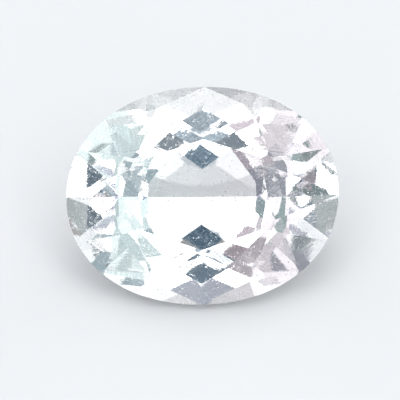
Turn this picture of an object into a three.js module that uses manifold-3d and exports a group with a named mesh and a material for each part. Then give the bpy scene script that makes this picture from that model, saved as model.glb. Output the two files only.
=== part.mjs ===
// An oval cut topaz, one loose stone with no setting.
// It is cut here as a lapidary cuts it: an oval blank, then one flat facet after another, each
// given by the direction that it faces (azimuth), its slope from the girdle plane and one point.
// The stone is then laid down on the pavilion facet that it rests on, a diamond of its middle row.
// It is cut by hand and eye, so its outline is a little square and runs slightly askew.
// Millimetres and degrees. +Z up, +X along the oval's length, the table leans towards -Y.
import * as THREE from "three";
import { mergeVertices } from "three/addons/utils/BufferGeometryUtils.js";
import Module from "manifold-3d";

// Driving dimensions of the stone
const LENGTH = 12.5;
const WIDTH = 10;
const GIRDLE_THICKNESS = 0.2;
const TABLE_HEIGHT = 1.86;

// The outline: a superellipse, rounder at 2 and squarer above, in so many flat sides. The askew
// share is how far the whole stone is drawn out along one diagonal and in along the other.
const SQUARENESS = 2.1;
const GIRDLE_SIDES = 96;
const ASKEW = 0.012;

// Crown: slopes of the main facets, and the azimuth of the four diagonal ones
const NORTH_MAIN_SLOPE = 35.5;
const EAST_MAIN_SLOPE = 28;
const DIAGONAL_MAIN_SLOPE = 35.5;
const DIAGONAL_MAIN_AZIMUTH = 54;
const DIAGONAL_MAIN_STATION = 43;
const NORTH_STAR_SLOPE = 26.5;
const EAST_STAR_SLOPE = 20;
const NEAR_EAST_STATION = 24;
const NEAR_NORTH_STATION = 68;

// Pavilion: three rows of facets, staggered like bricks. The breaks stand on the girdle, the
// diamonds lie below them, and the keel facets run from there to the keel. Slopes change evenly
// from the north side to the east end. proud is how far outside the girdle's lower edge the plane
// of a diamond runs.
const QUARTER_STATIONS = 4;
const BREAKS = { northSlope: 47, eastSlope: 50.5, northProud: 0, eastProud: 0 };
const DIAMONDS = { northSlope: 41.6, eastSlope: 45.4, northProud: 0.305, eastProud: 0.545 };
const KEEL_FACETS = { northSlope: 36, eastSlope: 51 };
// The stone rests on the diamond in the middle of its south side.
const RESTING_AZIMUTH = -90;

const radians = THREE.MathUtils.degToRad;
const halfLength = LENGTH / 2;
const halfWidth = WIDTH / 2;
const girdleTop = GIRDLE_THICKNESS / 2;
const BLANK_DEPTH = 8;
const WELD = 0.002;

const wasm = await Module();
wasm.setup();

// A closed three.js geometry as a manifold-3d solid.
function solidOf(geometry) {
  const bare = geometry.clone().deleteAttribute("normal").deleteAttribute("uv");
  const merged = mergeVertices(bare, WELD);
  const mesh = new wasm.Mesh({
    numProp: 3,
    vertProperties: merged.attributes.position.array,
    triVerts: new Uint32Array(merged.index.array),
  });
  return new wasm.Manifold(mesh);
}

// A manifold-3d solid as a three.js geometry with flat shaded facets.
function geometryOf(solid) {
  const mesh = solid.getMesh();
  const geometry = new THREE.BufferGeometry();
  geometry.setAttribute("position", new THREE.BufferAttribute(mesh.vertProperties, 3));
  geometry.setIndex(new THREE.BufferAttribute(mesh.triVerts, 1));
  const flat = geometry.toNonIndexed();
  flat.computeVertexNormals();
  return flat;
}

// A point of the outline. The angle runs from 0 at the east end to 90 at the north side.
function outlineAt(angle) {
  const [c, s] = [Math.cos(radians(angle)), Math.sin(radians(angle))];
  const round = (value) => Math.sign(value) * Math.abs(value) ** (2 / SQUARENESS);
  return new THREE.Vector2(halfLength * round(c), halfWidth * round(s));
}

// How far the outline reaches in the direction (x, y), times that direction's length.
function reach(x, y) {
  const power = SQUARENESS / (SQUARENESS - 1);
  return ((halfLength * Math.abs(x)) ** power + (halfWidth * Math.abs(y)) ** power) ** (1 / power);
}

// The blank, upright, with the girdle's middle at z = 0.
function ovalBlank() {
  const corners = Array.from({ length: GIRDLE_SIDES }, (_, i) => outlineAt((360 * i) / GIRDLE_SIDES));
  const blank = new THREE.ExtrudeGeometry(new THREE.Shape(corners), {
    depth: BLANK_DEPTH,
    bevelEnabled: false,
  });
  blank.translate(0, 0, -BLANK_DEPTH + TABLE_HEIGHT);
  return solidOf(blank);
}

// The outward direction of a facet. side is 1 on the crown and -1 on the pavilion.
function facing(azimuth, slope, side) {
  const across = Math.sin(radians(slope));
  return new THREE.Vector3(
    across * Math.cos(radians(azimuth)),
    across * Math.sin(radians(azimuth)),
    side * Math.cos(radians(slope)),
  );
}

const facetAt = (azimuth, slope, side, point) =>
  new THREE.Plane().setFromNormalAndCoplanarPoint(facing(azimuth, slope, side), point);

// A facet through three points, facing away from the stone's middle.
function facetThrough(a, b, c) {
  const plane = new THREE.Plane().setFromCoplanarPoints(a, b, c);
  return plane.constant > 0 ? plane.negate() : plane;
}

// The four mirror images of a facet. Two of them fall together on the stone's axes.
function mirrored(plane) {
  const copies = new Map();
  for (const [sx, sy] of [[1, 1], [-1, 1], [-1, -1], [1, -1]]) {
    const normal = plane.normal.clone().multiply(new THREE.Vector3(sx, sy, 1));
    const key = normal.toArray().map((n) => Math.round(n * 1e6)).join();
    copies.set(key, new THREE.Plane(normal, plane.constant));
  }
  return [...copies.values()];
}

// The point where three facets meet.
function meet(a, b, c) {
  const rows = new THREE.Matrix3().set(
    ...a.normal.toArray(),
    ...b.normal.toArray(),
    ...c.normal.toArray(),
  );
  return new THREE.Vector3(-a.constant, -b.constant, -c.constant).applyMatrix3(rows.invert());
}

// A point on the girdle's upper edge.
const station = (angle) => new THREE.Vector3(...outlineAt(angle), girdleTop);

// Crown: a table, mains, stars between the table and the mains, and girdle facets between the
// girdle and the meets of mains and stars.
function crownFacets() {
  const north = station(90);
  const east = station(0);
  const diagonal = station(DIAGONAL_MAIN_STATION);
  const northMain = facetAt(90, NORTH_MAIN_SLOPE, 1, north);
  const eastMain = facetAt(0, EAST_MAIN_SLOPE, 1, east);
  const diagonalMain = facetAt(DIAGONAL_MAIN_AZIMUTH, DIAGONAL_MAIN_SLOPE, 1, diagonal);

  const rise = TABLE_HEIGHT - girdleTop;
  const tableCorner = (from, azimuth, slope) => {
    const run = rise / Math.tan(radians(slope));
    const inwards = new THREE.Vector3(Math.cos(radians(azimuth)), Math.sin(radians(azimuth)), 0);
    return from.clone().addScaledVector(inwards, -run).setZ(TABLE_HEIGHT);
  };
  const northCorner = tableCorner(north, 90, NORTH_MAIN_SLOPE);
  const eastCorner = tableCorner(east, 0, EAST_MAIN_SLOPE);
  const diagonalCorner = tableCorner(diagonal, DIAGONAL_MAIN_AZIMUTH, DIAGONAL_MAIN_SLOPE);

  const star = (a, b, slope) => {
    const edge = b.clone().sub(a);
    const azimuth = THREE.MathUtils.radToDeg(Math.atan2(-edge.x, edge.y));
    return facetAt(azimuth, slope, 1, a);
  };
  const northStar = star(diagonalCorner, northCorner, NORTH_STAR_SLOPE);
  const eastStar = star(eastCorner, diagonalCorner, EAST_STAR_SLOPE);
  const northMeet = meet(northMain, diagonalMain, northStar);
  const eastMeet = meet(eastMain, diagonalMain, eastStar);

  const nearEast = station(NEAR_EAST_STATION);
  const nearNorth = station(NEAR_NORTH_STATION);
  return [
    northMain,
    eastMain,
    diagonalMain,
    northStar,
    eastStar,
    facetThrough(east, nearEast, eastMeet),
    facetThrough(nearEast, diagonal, eastMeet),
    facetThrough(diagonal, nearNorth, northMeet),
    facetThrough(nearNorth, north, northMeet),
  ].flatMap(mirrored);
}

// The azimuth that the outline faces at an angle from the east end.
function outlineAzimuth(angle) {
  const flatten = (value) => Math.abs(value) ** (2 - 2 / SQUARENESS);
  const along = flatten(Math.cos(radians(angle))) / halfLength;
  const across = flatten(Math.sin(radians(angle))) / halfWidth;
  return THREE.MathUtils.radToDeg(Math.atan2(across, along));
}

// A value on its way from the north side to the east end.
const onTheWay = (north, east, angle) => north + (east - north) * Math.cos(radians(angle)) ** 2;

// A pavilion facet whose plane runs proud of the girdle's lower edge.
function edgeFacet(angle, row) {
  const slope = onTheWay(row.northSlope, row.eastSlope, angle);
  const normal = facing(outlineAzimuth(angle), slope, -1);
  const edge = reach(normal.x, normal.y) - girdleTop * normal.z;
  return new THREE.Plane(normal, -edge - onTheWay(row.northProud, row.eastProud, angle));
}

// Pavilion: a keel facet is cut until it just reaches the corner where two diamonds and the break
// between them meet.
function pavilionFacets() {
  const step = 90 / QUARTER_STATIONS;
  const half = Array.from({ length: QUARTER_STATIONS }, (_, i) => 90 - step * (i + 0.5));
  const diamondAt = (angle) => edgeFacet(angle, DIAMONDS);
  const rows = half.flatMap((angle) => {
    const atBreak = edgeFacet(angle, BREAKS);
    const corner = meet(atBreak, diamondAt(angle + step / 2), diamondAt(angle - step / 2));
    const slope = onTheWay(KEEL_FACETS.northSlope, KEEL_FACETS.eastSlope, angle);
    return [atBreak, facetAt(outlineAzimuth(angle), slope, -1, corner)];
  });
  const diamonds = Array.from({ length: QUARTER_STATIONS + 1 }, (_, i) => diamondAt(90 - step * i));
  return [...rows, ...diamonds].flatMap(mirrored);
}

const cut = (stone, plane) =>
  stone.trimByPlane(plane.normal.clone().negate().toArray(), plane.constant);

// The whole stone drawn askew in the plane of its table.
const askew = new THREE.Matrix4().set(1, ASKEW, 0, 0, ASKEW, 1, 0, 0, 0, 0, 1, 0, 0, 0, 0, 1);

// Laid down: the resting facet, on the -Y side, turns to face straight down and sits at z = 0.
function laidDown(geometry) {
  const bottom = facing(RESTING_AZIMUTH, DIAMONDS.northSlope, -1);
  bottom.applyNormalMatrix(new THREE.Matrix3().getNormalMatrix(askew));
  const turn = new THREE.Quaternion().setFromUnitVectors(bottom, new THREE.Vector3(0, 0, -1));
  geometry.applyMatrix4(askew).applyQuaternion(turn).computeBoundingBox();
  const { min, max } = geometry.boundingBox;
  return geometry.translate(-(min.x + max.x) / 2, -(min.y + max.y) / 2, -min.z);
}

const stone = [...crownFacets(), ...pavilionFacets()].reduce(cut, ovalBlank()).simplify(WELD);

const topaz = new THREE.Mesh(
  laidDown(geometryOf(stone)),
  new THREE.MeshStandardMaterial({
    color: 0xe8f1f2,
    roughness: 0.02,
    metalness: 0,
    transparent: true,
    opacity: 0.35,
    flatShading: true,
  }),
);
topaz.name = "topaz";

const group = new THREE.Group();
group.name = "oval cut topaz";
group.add(topaz);

export default group;
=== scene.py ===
# %% [markdown]
# # An oval cut topaz
# One loose gemstone, an oval about 12.5 mm long, cut from clear crystal. It lies on one of its own
# lower facets, so its table, the big flat facet on top, leans towards the viewer.
# The frame holds the cut solid at its real size. This lesson welds that solid into single flat
# facets, gives it the finish of polished topaz with a ground girdle and slightly worn edges, and
# lays it on a pale floor under a soft studio dome.

# %% Load the frame
import math

import bpy
import bmesh
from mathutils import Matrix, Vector


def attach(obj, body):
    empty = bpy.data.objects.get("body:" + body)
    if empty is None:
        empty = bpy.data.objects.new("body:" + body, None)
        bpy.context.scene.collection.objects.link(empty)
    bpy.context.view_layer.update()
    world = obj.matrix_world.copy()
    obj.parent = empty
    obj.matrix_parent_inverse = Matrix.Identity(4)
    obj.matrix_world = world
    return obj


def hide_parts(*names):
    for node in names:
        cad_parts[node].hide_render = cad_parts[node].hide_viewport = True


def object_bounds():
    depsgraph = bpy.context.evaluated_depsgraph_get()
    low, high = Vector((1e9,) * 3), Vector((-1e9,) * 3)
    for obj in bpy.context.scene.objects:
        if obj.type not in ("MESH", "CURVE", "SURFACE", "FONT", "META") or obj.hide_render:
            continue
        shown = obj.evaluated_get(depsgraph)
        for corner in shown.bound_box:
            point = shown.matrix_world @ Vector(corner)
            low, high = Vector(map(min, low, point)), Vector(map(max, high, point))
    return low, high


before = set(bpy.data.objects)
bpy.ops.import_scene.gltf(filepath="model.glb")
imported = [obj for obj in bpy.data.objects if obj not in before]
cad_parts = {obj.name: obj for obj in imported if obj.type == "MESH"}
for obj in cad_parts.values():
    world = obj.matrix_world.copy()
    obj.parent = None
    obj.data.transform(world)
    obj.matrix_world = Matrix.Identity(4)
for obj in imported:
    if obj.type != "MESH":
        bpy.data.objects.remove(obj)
cad_low, cad_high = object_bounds()
MM = 0.001
print("CAD box, mm:", [round(side / MM, 2) for side in (cad_high - cad_low)])

# %% [markdown]
# ## The stone's own axis
# A cut stone is symmetric about the line that stands square on its table. The table is by far the
# largest facet, so its direction could be typed in as numbers, or read from the solid. Reading it
# is safer, because the finishes, the camera and the lights then follow the stone by themselves if
# it is ever cut or laid down differently.

# %% Find the table
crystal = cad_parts["topaz"]
DIRECTION_DIGITS = 3


def area_by_direction(mesh):
    """Adds up the area that faces each direction, so the triangles of one facet count as one."""
    areas = {}
    for face in mesh.polygons:
        direction = tuple(round(part, DIRECTION_DIGITS) for part in face.normal)
        areas[direction] = areas.get(direction, 0.0) + face.area
    return areas


facets = area_by_direction(crystal.data)
stone_axis = Vector(max(facets, key=facets.get)).normalized()
table_lean = math.degrees(math.acos(stone_axis.z))
print(len(facets), "facets; the table leans", round(table_lean, 1), "degrees from level")

# %% [markdown]
# ## Finish: node helpers
# Every finish below is a short tree of shader nodes. They could be wired by hand in the editor, but
# five small helpers keep each tree readable: one starts a material, one adds a node and sets its
# values, one does sums, one turns a range of values into another, and one blends two colours.


# %% Shader helpers
def new_finish(name):
    """A material with a Principled shader, its node tree and that shader."""
    material = bpy.data.materials.new(name)
    material.use_nodes = True
    return material, material.node_tree, material.node_tree.nodes["Principled BSDF"]


def add_node(tree, kind, settings=None, **sockets):
    """Adds a node. settings are its options, and sockets are values or links by input name."""
    node = tree.nodes.new(kind)
    for option, value in (settings or {}).items():
        setattr(node, option, value)
    for name, value in sockets.items():
        socket = node.inputs[name.replace("_", " ")]
        if isinstance(value, bpy.types.NodeSocket):
            tree.links.new(value, socket)
        else:
            socket.default_value = value
    return node


def add_sum(tree, operation, first, second):
    """A Math node, for numbers or links."""
    node = tree.nodes.new("ShaderNodeMath")
    node.operation = operation
    for socket, value in zip(node.inputs, (first, second)):
        if isinstance(value, bpy.types.NodeSocket):
            tree.links.new(value, socket)
        else:
            socket.default_value = value
    return node.outputs[0]


def add_range(tree, value, before, after=(0.0, 1.0)):
    """Turns the range before into the range after, each a pair of ends, softly at both ends."""
    node = add_node(
        tree,
        "ShaderNodeMapRange",
        {"interpolation_type": "SMOOTHSTEP"},
        Value=value,
        From_Min=before[0],
        From_Max=before[1],
        To_Min=after[0],
        To_Max=after[1],
    )
    return node.outputs["Result"]


def add_mix(tree, amount, base, over):
    """Blends two colours, each a tuple or a link."""
    node = tree.nodes.new("ShaderNodeMix")
    node.data_type = "RGBA"
    tree.links.new(amount, node.inputs["Factor"])
    colour_inputs = [socket for socket in node.inputs if socket.type == "RGBA"]
    for socket, value in zip(colour_inputs, (base, over)):
        if isinstance(value, bpy.types.NodeSocket):
            tree.links.new(value, socket)
        else:
            socket.default_value = (*value, 1.0)
    return next(socket for socket in node.outputs if socket.type == "RGBA")


# %% [markdown]
# ## Finish: polished crystal
# Topaz bends light more than glass does, with an index of refraction of 1.62, so a well cut stone
# throws most of the light that enters it back out of the top. A mix of glass and colour shaders
# could fake that, but plain transmission with the true index lets the facets do it themselves.
# The body colour is almost none apart from painted light. A sea green tint at one end and a rose
# tint at the other stand for the tinted lamp light from either side. The absorption inside is so
# weak that only the longest paths take it up.

# %% Clear body
TOPAZ_INDEX = 1.62
PAINTED_SEA_GREEN_LIGHT = (0.955, 0.995, 0.985)
PAINTED_ROSE_LIGHT = (1.0, 0.965, 0.98)
BODY_TINT = (0.90, 0.97, 1.0, 1.0)
BODY_TINT_DENSITY = 6.0

polished, tree, shader = new_finish("polished topaz")
shader.inputs["Transmission Weight"].default_value = 1.0
shader.inputs["IOR"].default_value = TOPAZ_INDEX
place = add_node(tree, "ShaderNodeTexCoord").outputs["Object"]
across = add_node(tree, "ShaderNodeSeparateXYZ", Vector=place).outputs["X"]
# Painted light: sea green at one end fading to rose at the other stands for tinted lamp light from
# the sides.
painted_light_side = add_range(tree, across, (cad_low.x, cad_high.x))
painted_light_tint = add_mix(tree, painted_light_side, PAINTED_SEA_GREEN_LIGHT, PAINTED_ROSE_LIGHT)
tree.links.new(painted_light_tint, shader.inputs["Base Color"])
tint = add_node(tree, "ShaderNodeVolumeAbsorption", Color=BODY_TINT, Density=BODY_TINT_DENSITY)
tree.links.new(tint.outputs["Volume"], tree.nodes["Material Output"].inputs["Volume"])
print(polished.name, "bends light by", TOPAZ_INDEX)

# %% [markdown]
# ## Finish: lap lines and pits
# A polished facet is never perfect. The lap leaves hair-fine lines, in a direction of its own on
# each facet, and here and there a pit. Both could be cut into the mesh, but they are far too small
# to see as shapes. What shows is what they do to the light: a bump along the lines makes the border
# between light and dark feathery, and a noise makes a rough speck in place of each pit.

# %% Lap lines and pits
LAP_LINES_PER_MM = 7.0
LAP_LINE_DETAIL = 2.0
LAP_LINE_DEPTH = 0.0011 * MM
PITS_PER_MM = 7.0
PIT_DETAIL = 1.0
PIT_THRESHOLD = (0.70, 0.74)
PIT_ROUGHNESS = (0.0, 0.5)

lap = add_node(tree, "ShaderNodeAttribute", {"attribute_name": "lap direction"}).outputs["Vector"]
along = add_node(tree, "ShaderNodeVectorMath", {"operation": "DOT_PRODUCT"})
tree.links.new(place, along.inputs[0])
tree.links.new(lap, along.inputs[1])
lap_lines = add_node(
    tree,
    "ShaderNodeTexNoise",
    {"noise_dimensions": "1D"},
    W=along.outputs["Value"],
    Scale=LAP_LINES_PER_MM / MM,
    Detail=LAP_LINE_DETAIL,
)
line_height = lap_lines.outputs["Fac"]
lap_bump = add_node(tree, "ShaderNodeBump", Height=line_height, Distance=LAP_LINE_DEPTH)
tree.links.new(lap_bump.outputs["Normal"], shader.inputs["Normal"])
pits = add_node(tree, "ShaderNodeTexNoise", Vector=place, Scale=PITS_PER_MM / MM, Detail=PIT_DETAIL)
pit_roughness = add_range(tree, pits.outputs["Fac"], PIT_THRESHOLD, PIT_ROUGHNESS)
tree.links.new(pit_roughness, shader.inputs["Roughness"])
print(polished.name, "has", len(tree.nodes), "nodes")

# %% [markdown]
# ## Finish: ground girdle
# The girdle is the thin rim where the stone is widest. On most stones it is ground to the outline
# and left unpolished, so it looks like frosted glass, with grains and tiny nicks. It could be cut
# into the mesh, but the grains are a few hundredths of a millimetre across, so a fine noise drives
# its roughness, its whiteness and a bump instead.

# %% Ground girdle
GRAINS_PER_MM = 11.0
GRAIN_DETAIL = 3.0
GRAIN_DEPTH = 0.006 * MM
GRAIN_DARK = (0.62, 0.66, 0.70)
GRAIN_PALE = (1.0, 1.0, 1.0)
DARK_TO_PALE = (0.38, 0.62)
SMOOTH_TO_ROUGH = (0.35, 0.6)
GRAIN_ROUGHNESS = (0.35, 0.7)
CLEAR_TO_FROSTED = (0.4, 0.6)
GRAIN_CLEARNESS = (0.85, 0.35)

ground, tree, shader = new_finish("ground girdle")
shader.inputs["IOR"].default_value = TOPAZ_INDEX
place = add_node(tree, "ShaderNodeTexCoord").outputs["Object"]
grain = add_node(
    tree, "ShaderNodeTexNoise", Vector=place, Scale=GRAINS_PER_MM / MM, Detail=GRAIN_DETAIL
)
grain_value = grain.outputs["Fac"]
grain_shade = add_range(tree, grain_value, DARK_TO_PALE)
tree.links.new(add_mix(tree, grain_shade, GRAIN_DARK, GRAIN_PALE), shader.inputs["Base Color"])
grain_roughness = add_range(tree, grain_value, SMOOTH_TO_ROUGH, GRAIN_ROUGHNESS)
tree.links.new(grain_roughness, shader.inputs["Roughness"])
grain_clearness = add_range(tree, grain_value, CLEAR_TO_FROSTED, GRAIN_CLEARNESS)
tree.links.new(grain_clearness, shader.inputs["Transmission Weight"])
grain_bump = add_node(tree, "ShaderNodeBump", Height=grain_value, Distance=GRAIN_DEPTH)
tree.links.new(grain_bump.outputs["Normal"], shader.inputs["Normal"])
print(ground.name, "has", len(tree.nodes), "nodes")

# %% [markdown]
# ## Finish: worn edges
# Where two facets meet, the edge is knife sharp when it leaves the lap, and then it rubs against
# other stones. It ends as a hair-thin line that scatters light. It could be painted along the edges,
# but a real edge has a width and a slope of its own. So a bevel further on cuts that line, and this
# finish makes it slightly rough, more in some places than in others.

# %% Worn edges
WEAR_SPOTS_PER_MM = 1.6
WEAR_DETAIL = 4.0
CRISP_TO_RUBBED = (0.42, 0.62)
EDGE_ROUGHNESS = (0.04, 0.4)
WORN_TINT = (0.93, 0.95, 0.97)
CRISP_TINT = (1.0, 1.0, 1.0)

worn, tree, shader = new_finish("worn facet edge")
shader.inputs["IOR"].default_value = TOPAZ_INDEX
shader.inputs["Transmission Weight"].default_value = 1.0
place = add_node(tree, "ShaderNodeTexCoord").outputs["Object"]
wear = add_node(
    tree, "ShaderNodeTexNoise", Vector=place, Scale=WEAR_SPOTS_PER_MM / MM, Detail=WEAR_DETAIL
)
rubbed = add_range(tree, wear.outputs["Fac"], CRISP_TO_RUBBED)
edge_roughness = add_range(tree, rubbed, (0.0, 1.0), EDGE_ROUGHNESS)
tree.links.new(edge_roughness, shader.inputs["Roughness"])
tree.links.new(add_mix(tree, rubbed, CRISP_TINT, WORN_TINT), shader.inputs["Base Color"])
print(worn.name, "has", len(tree.nodes), "nodes")

# %% [markdown]
# ## The cut stone
# A brilliant is a convex solid: flat facets all round, with no hollow anywhere. The frame gives it
# as loose triangles. It could be cleaned by hand, or by a rule: weld the corners, wrap the
# tightest convex skin round them, and let the direction of each facet choose its finish. The
# girdle's facets are the ones that stand square to the table.
# Geometry Nodes hold that rule. The same tree gives each facet the direction of its lap lines: any
# direction that lies in the facet, drawn from a fixed seed.


# %% The tree that skins the stone
def new_tree(name, inputs):
    """A Geometry Nodes tree with a geometry input, named inputs and a geometry output."""
    made = bpy.data.node_groups.new(name, "GeometryNodeTree")
    made.interface.new_socket("Geometry", in_out="INPUT", socket_type="NodeSocketGeometry")
    for label, kind in inputs.items():
        made.interface.new_socket(label, in_out="INPUT", socket_type="NodeSocket" + kind)
    made.interface.new_socket("Geometry", in_out="OUTPUT", socket_type="NodeSocketGeometry")
    return made, made.nodes.new("NodeGroupInput"), made.nodes.new("NodeGroupOutput")


def vector_sum(tree, operation, first, second=None):
    """A Vector Math node between two links."""
    node = tree.nodes.new("ShaderNodeVectorMath")
    node.operation = operation
    tree.links.new(first, node.inputs[0])
    if second is not None:
        tree.links.new(second, node.inputs[1])
    return node


skin, given, result = new_tree(
    "skin a cut stone",
    {
        "Weld distance": "Float",
        "Stone axis": "Vector",
        "Girdle limit": "Float",
        "Lap seed": "Int",
        "Polished": "Material",
        "Ground": "Material",
    },
)
welded = skin.nodes.new("GeometryNodeMergeByDistance")
skin.links.new(given.outputs["Geometry"], welded.inputs["Geometry"])
skin.links.new(given.outputs["Weld distance"], welded.inputs["Distance"])
hull = skin.nodes.new("GeometryNodeConvexHull")
skin.links.new(welded.outputs["Geometry"], hull.inputs["Geometry"])

facing = skin.nodes.new("GeometryNodeInputNormal").outputs["Normal"]
any_way = skin.nodes.new("FunctionNodeRandomValue")
any_way.data_type = "FLOAT_VECTOR"
any_way.inputs["Min"].default_value = (-1.0, -1.0, -1.0)
skin.links.new(given.outputs["Lap seed"], any_way.inputs["Seed"])
in_facet = vector_sum(skin, "CROSS_PRODUCT", facing, any_way.outputs["Value"])
lap_way = vector_sum(skin, "NORMALIZE", in_facet.outputs["Vector"])
store = skin.nodes.new("GeometryNodeStoreNamedAttribute")
store.data_type = "FLOAT_VECTOR"
store.domain = "FACE"
store.inputs["Name"].default_value = "lap direction"
skin.links.new(hull.outputs["Convex Hull"], store.inputs["Geometry"])
skin.links.new(lap_way.outputs["Vector"], store.inputs["Value"])

upright = vector_sum(skin, "DOT_PRODUCT", facing, given.outputs["Stone axis"])
steepness = add_sum(skin, "ABSOLUTE", upright.outputs["Value"], 0.0)
is_girdle = add_sum(skin, "LESS_THAN", steepness, 0.0)
skin.links.new(given.outputs["Girdle limit"], is_girdle.node.inputs[1])

realized = skin.nodes.new("GeometryNodeRealizeInstances")
skin.links.new(store.outputs["Geometry"], realized.inputs["Geometry"])
polish_all = skin.nodes.new("GeometryNodeSetMaterial")
skin.links.new(realized.outputs["Geometry"], polish_all.inputs["Geometry"])
skin.links.new(given.outputs["Polished"], polish_all.inputs["Material"])
grind_rim = skin.nodes.new("GeometryNodeSetMaterial")
skin.links.new(polish_all.outputs["Geometry"], grind_rim.inputs["Geometry"])
skin.links.new(is_girdle, grind_rim.inputs["Selection"])
skin.links.new(given.outputs["Ground"], grind_rim.inputs["Material"])
skin.links.new(grind_rim.outputs["Geometry"], result.inputs["Geometry"])
print(skin.name, "has", len(skin.nodes), "nodes")

# %% [markdown]
# ## The tree at work
# A live modifier would skin the stone again at every change, and nothing changes any more. So the
# tree runs once on a copy of the solid, with its inputs set by name, and the result is kept as a
# plain mesh. That also lets the next steps work on its faces.

# %% Run the tree on the solid
WELD_DISTANCE = 0.002 * MM
GIRDLE_LIMIT = 0.05
LAP_SEED = 7
scene = bpy.context.scene


def baked(source, tree, values, name):
    """Runs a tree on a copy of a mesh and returns the result as a new object with a plain mesh."""
    carrier = bpy.data.objects.new(name + " source", source.copy())
    carrier.data.materials.clear()
    scene.collection.objects.link(carrier)
    modifier = carrier.modifiers.new("rule", "NODES")
    modifier.node_group = tree
    for item in tree.interface.items_tree:
        if item.item_type == "SOCKET" and item.in_out == "INPUT" and item.name in values:
            modifier[item.identifier] = values[item.name]
    evaluated = carrier.evaluated_get(bpy.context.evaluated_depsgraph_get())
    mesh = bpy.data.meshes.new_from_object(evaluated)
    mesh.name = name
    bpy.data.objects.remove(carrier)
    made = bpy.data.objects.new(name, mesh)
    scene.collection.objects.link(made)
    return made


stone = baked(
    crystal.data,
    skin,
    {
        "Weld distance": WELD_DISTANCE,
        "Stone axis": stone_axis,
        "Girdle limit": GIRDLE_LIMIT,
        "Lap seed": LAP_SEED,
        "Polished": polished,
        "Ground": ground,
    },
    "stone",
)
print("skinned:", len(stone.data.polygons), "faces,", [m.name for m in stone.data.materials])

# %% [markdown]
# ## One face for each facet
# The skin may still split a flat facet into triangles. Dissolving the edges inside flat areas
# leaves one face for each facet, which is how a cutter counts them, and gives the bevel clean
# edges to work on.

# %% Merge flat neighbours
FLAT_ANGLE = math.radians(0.2)

shape = bmesh.new()
shape.from_mesh(stone.data)
bmesh.ops.dissolve_limit(
    shape,
    angle_limit=FLAT_ANGLE,
    use_dissolve_boundaries=False,
    verts=shape.verts,
    edges=shape.edges,
    delimit={"MATERIAL"},
)
bmesh.ops.recalc_face_normals(shape, faces=shape.faces)
open_edges = [edge for edge in shape.edges if not edge.is_manifold]
shortest = min(edge.calc_length() for edge in shape.edges)
shape.to_mesh(stone.data)
shape.free()
print(len(stone.data.polygons), "faces,", len(open_edges), "open edges")
print("shortest edge, mm:", round(shortest / MM, 4))

# %% [markdown]
# ## Rubbed edges
# The wear takes about a hundredth of a millimetre off each edge. Each edge could be cut by hand, but
# a bevel modifier does all of them alike and stays adjustable. Its angle limit keeps it off the
# edges between facets that are almost level with each other, and it gives the new strips the worn
# finish.

# %% Wear the edges
WEAR_WIDTH = 0.012 * MM
SHARP_ANGLE = math.radians(2.5)

stone.data.materials.append(worn)
edge_wear = stone.modifiers.new("edge wear", "BEVEL")
edge_wear.width = WEAR_WIDTH
edge_wear.segments = 1
edge_wear.limit_method = "ANGLE"
edge_wear.angle_limit = SHARP_ANGLE
edge_wear.material = len(stone.data.materials) - 1
print("edge wear, mm:", WEAR_WIDTH / MM)

# %% [markdown]
# ## Floor
# The stone lies on a plain pale surface. It could rest exactly on it, but then the resting facet
# would touch the floor all over and stop acting as a mirror, which no real stone on cloth does:
# a film of air stays between them. So the floor lies a hair lower.

# %% Floor
FLOOR_SIZE = 4.0
AIR_FILM = 0.03 * MM
FLOOR_PALE = (0.61, 0.625, 0.64)
FLOOR_SHADE = (0.585, 0.60, 0.615)
FLOOR_ROUGHNESS = 0.9
MOTTLES_PER_METRE = 60.0
MOTTLE_DETAIL = 2.0

half = FLOOR_SIZE / 2
level = cad_low.z - AIR_FILM
corners = [(-half, -half, level), (half, -half, level), (half, half, level), (-half, half, level)]
floor_mesh = bpy.data.meshes.new("floor")
floor_mesh.from_pydata(corners, [], [(0, 1, 2, 3)])
floor = bpy.data.objects.new("floor", floor_mesh)
scene.collection.objects.link(floor)

floor_finish, tree, shader = new_finish("pale floor")
place = add_node(tree, "ShaderNodeTexCoord").outputs["Object"]
mottle = add_node(
    tree, "ShaderNodeTexNoise", Vector=place, Scale=MOTTLES_PER_METRE, Detail=MOTTLE_DETAIL
)
floor_colour = add_mix(tree, mottle.outputs["Fac"], FLOOR_SHADE, FLOOR_PALE)
tree.links.new(floor_colour, shader.inputs["Base Color"])
shader.inputs["Roughness"].default_value = FLOOR_ROUGHNESS
floor_mesh.materials.append(floor_finish)
print("floor at", round(level / MM, 3), "mm")

# %% [markdown]
# ## Camera
# A small thing is looked at from close by, and then its near side looks larger than its far side.
# A camera much closer would show that strongly, and one without perspective would not show it at
# all. A long lens from 30 cm away is what a person would use on a stone this size. It looks nearly
# square at the table, from a little below the stone's axis.

# %% Camera
VIEW_DISTANCE = 0.30
BELOW_AXIS = 1.5
STONE_PIXELS = 272.0
FRAME_PIXELS = 400.0
CENTRE_RIGHT_PIXELS = 2.5
CENTRE_UP_PIXELS = 2.6
SENSOR = 36.0
NEAREST_SEEN = 0.01
FARTHEST_SEEN = 10.0
camera_elevation = 90.0 - table_lean - BELOW_AXIS


def towards(azimuth, elevation):
    """The direction to a point of the studio dome. Azimuth 0 is the camera's side, 90 its right."""
    a, e = math.radians(azimuth), math.radians(elevation)
    return Vector((math.sin(a) * math.cos(e), -math.cos(a) * math.cos(e), math.sin(e)))


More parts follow.
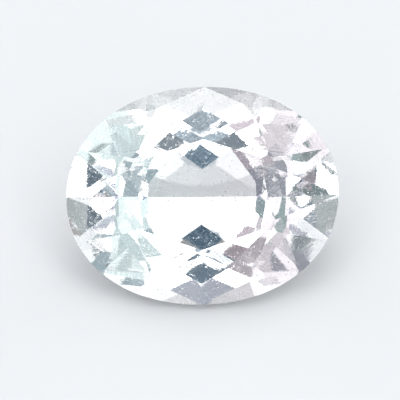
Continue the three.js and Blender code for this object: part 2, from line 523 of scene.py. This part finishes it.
frame_width = (cad_high.x - cad_low.x) * FRAME_PIXELS / STONE_PIXELS
camera_data = bpy.data.cameras.new("camera")
camera_data.sensor_width = SENSOR
camera_data.lens = SENSOR * VIEW_DISTANCE / frame_width
camera_data.clip_start = NEAREST_SEEN
camera_data.clip_end = FARTHEST_SEEN
camera = bpy.data.objects.new("camera", camera_data)
scene.collection.objects.link(camera)
back = towards(0.0, camera_elevation)
turn = back.to_track_quat("Z", "Y")
pixel = frame_width / FRAME_PIXELS
sideways = turn @ Vector((-CENTRE_RIGHT_PIXELS * pixel, -CENTRE_UP_PIXELS * pixel, 0.0))
camera.location = (cad_low + cad_high) / 2 + sideways + back * VIEW_DISTANCE
camera.rotation_mode = "QUATERNION"
camera.rotation_quaternion = turn
scene.camera = camera
print("camera elevation", round(camera_elevation, 1), "degrees, lens", round(camera_data.lens), "mm")

# %% [markdown]
# ## Studio dome
# A cut stone is a set of mirrors: what it shows is the room, in pieces. Each facet hands on one
# small part of the room, so the room decides which facets look white, dark, sea green or rose.
# A few lamps would give hard sparks, and an even sky would leave the stone without contrast. So the
# room is a bright overcast dome with soft round patches painted on it: windows and walls, some
# curtains, furniture and lamps, and the person behind the camera, whose lens, hands and jacket make
# the dark facets in the middle. Left and right in the names are the stone's own, as it faces the
# camera. It starts with the sky: a bright haze, with clouds a little darker than the gaps.

# %% A cloudy sky
SKY = (1.45, 1.45, 1.45)
SKY_SHADE = (1.2, 1.22, 1.24)
CLOUDS_PER_RADIAN = 5.0
CLOUD_DETAIL = 4.0
THICK_TO_THIN = (0.35, 0.65)

world = bpy.data.worlds.new("studio dome")
scene.world = world
world.use_nodes = True
tree = world.node_tree
direction = add_node(tree, "ShaderNodeTexCoord").outputs["Generated"]
clouds = add_node(
    tree, "ShaderNodeTexNoise", Vector=direction, Scale=CLOUDS_PER_RADIAN, Detail=CLOUD_DETAIL
)
thin_cloud = add_range(tree, clouds.outputs["Fac"], THICK_TO_THIN)
sky = add_mix(tree, thin_cloud, SKY_SHADE, SKY)
print("sky from", SKY_SHADE, "to", SKY)

# %% [markdown]
# ## The room on the dome
# Each row below is one round patch: its colour, its azimuth and elevation in degrees, and the radii
# in degrees where its soft edge begins and ends. Real lamps and furniture could stand round the
# stone, but a patch costs nothing to render, and its place is easy to read and to change. A later
# patch lies over an earlier one.

# %% The room's patches
PATCHES = {
    "skylight": ((2.4, 2.4, 2.4), 0.0, 84.0, 22.0, 34.0),
    "back window": ((3.2, 3.2, 3.2), 180.0, 64.0, 12.0, 20.0),
    "left window": ((3.2, 3.2, 3.2), 40.0, 54.0, 13.0, 20.0),
    "right window": ((3.2, 3.2, 3.2), -40.0, 54.0, 13.0, 20.0),
    "left wall": ((0.95, 1.10, 1.10), 90.0, 28.0, 20.0, 32.0),
    "right wall": ((1.10, 1.02, 1.09), -90.0, 28.0, 20.0, 32.0),
    "back wall": ((0.35, 0.35, 0.37), 180.0, 2.0, 28.0, 42.0),
    "grey cupboard": ((0.40, 0.43, 0.51), 180.0, 45.0, 9.5, 13.0),
    "grey shelf": ((0.72, 0.71, 0.75), -158.0, 38.0, 4.0, 7.0),
    "jacket": ((0.36, 0.355, 0.36), 0.0, 9.0, 19.0, 23.0),
    "sea green curtain": ((0.60, 0.73, 0.74), 59.0, 31.0, 5.0, 9.0),
    "sea green shelf": ((0.62, 0.74, 0.75), 53.5, 42.0, 3.0, 5.0),
    "sea green chair": ((0.48, 0.60, 0.62), 84.0, 14.0, 5.0, 8.0),
    "rose curtain": ((0.70, 0.65, 0.70), -56.0, 31.0, 7.0, 9.5),
    "rose cushion": ((0.62, 0.54, 0.60), -34.0, 33.5, 2.5, 4.5),
    "rose shelf": ((0.66, 0.60, 0.65), -46.0, 31.5, 2.5, 4.5),
    "mauve chair": ((0.44, 0.39, 0.44), -43.0, 42.0, 5.0, 7.5),
    "grey armchair": ((0.27, 0.28, 0.33), -45.0, 12.0, 15.0, 18.0),
    "right picture": ((0.16, 0.21, 0.22), -90.0, 36.0, 4.5, 7.0),
    "left picture": ((0.24, 0.31, 0.32), 97.0, 24.0, 3.0, 5.0),
    "left skirting": ((0.15, 0.20, 0.21), 62.0, 2.0, 6.0, 8.5),
    "right skirting": ((0.20, 0.24, 0.26), -68.0, 3.5, 3.5, 6.0),
    "dark doorway": ((0.26, 0.34, 0.35), -75.0, 33.0, 5.0, 8.0),
    "left sleeve": ((0.35, 0.45, 0.49), 42.0, 17.0, 12.0, 15.0),
    "left hand": ((0.07, 0.12, 0.16), 25.0, 48.5, 3.5, 5.0),
    "lamp arm": ((0.12, 0.17, 0.18), 20.0, 60.5, 2.0, 4.0),
    "hanging lamp": ((0.13, 0.17, 0.18), -32.5, 71.0, 2.5, 4.5),
    "right hand": ((0.08, 0.13, 0.18), -22.0, 46.0, 3.0, 5.0),
    "cuff": ((0.12, 0.16, 0.17), -15.0, 41.0, 2.5, 4.0),
    "rose sleeve": ((0.33, 0.27, 0.31), -20.0, 40.0, 2.5, 4.0),
    "collar": ((0.13, 0.18, 0.19), 6.0, 34.0, 3.0, 4.5),
    "rolled sleeve": ((0.14, 0.18, 0.19), -11.0, 36.5, 3.0, 4.5),
    "shirt": ((0.38, 0.43, 0.44), -2.0, 27.0, 4.5, 7.0),
}


def add_patch(sky, colour, azimuth, elevation, inner, outer):
    """Paints a round patch on the dome. inner and outer are the radii of its soft edge."""
    aim = add_node(tree, "ShaderNodeVectorMath", {"operation": "DOT_PRODUCT"})
    tree.links.new(direction, aim.inputs[0])
    aim.inputs[1].default_value = towards(azimuth, elevation)
    rim, core = math.cos(math.radians(outer)), math.cos(math.radians(inner))
    inside = add_range(tree, aim.outputs["Value"], (rim, core))
    return add_mix(tree, inside, sky, colour)


for name, (colour, azimuth, elevation, inner, outer) in PATCHES.items():
    sky = add_patch(sky, colour, azimuth, elevation, inner, outer)
print("dome patches:", ", ".join(PATCHES))

# %% [markdown]
# ## Grain and the lens
# No wall or coat is one even tone. A fine noise over the whole dome makes it lighter and darker by
# turns, which the lap lines then draw out into streaks. The lens is the darkest thing in the room.
# It hangs over the stone, a little below the middle of the view, and shows glints of sky of its own.

# %% Grain and the lens
GLINTS_PER_RADIAN = 50.0
GLINT_DETAIL = 3.0
DULL_TO_GLINT = (0.42, 0.60)
GRAIN_STRENGTH = (0.78, 1.16)
LENS_DARK = (0.04, 0.085, 0.135)
LENS_BRIGHT = (0.50, 0.64, 0.74)
LENS_BELOW_VIEW = 1.4
LENS_INNER = 8.0
LENS_OUTER = 9.5

glint_noise = add_node(
    tree, "ShaderNodeTexNoise", Vector=direction, Scale=GLINTS_PER_RADIAN, Detail=GLINT_DETAIL
)
glints = add_range(tree, glint_noise.outputs["Fac"], DULL_TO_GLINT)
grained = add_node(tree, "ShaderNodeVectorMath", {"operation": "SCALE"}, Vector=sky)
grain_scale = add_range(tree, glints, (0.0, 1.0), GRAIN_STRENGTH)
tree.links.new(grain_scale, grained.inputs["Scale"])
lens_colour = add_mix(tree, glints, LENS_DARK, LENS_BRIGHT)
lens_elevation = camera_elevation - LENS_BELOW_VIEW
sky = add_patch(
    grained.outputs["Vector"], lens_colour, 0.0, lens_elevation, LENS_INNER, LENS_OUTER
)
tree.links.new(sky, tree.nodes["Background"].inputs["Color"])
print("the lens stands at", round(lens_elevation, 1), "degrees")

# %% [markdown]
# ## Light paths
# Light bounces many times inside a cut stone before it leaves. Fewer bounces would render sooner,
# but the paths that are cut short come out black, as if the stone had soot in it. So the renderer is
# allowed more bounces than usual. The view transform is the plain one, which keeps the whites clean.

# %% Light paths
INSIDE_BOUNCES = 24
scene.view_settings.view_transform = "Standard"
scene.cycles.max_bounces = INSIDE_BOUNCES
scene.cycles.transmission_bounces = INSIDE_BOUNCES
scene.cycles.glossy_bounces = INSIDE_BOUNCES
print("bounces:", INSIDE_BOUNCES)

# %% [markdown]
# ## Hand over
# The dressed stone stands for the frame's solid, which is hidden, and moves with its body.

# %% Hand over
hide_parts("topaz")
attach(stone, "root")
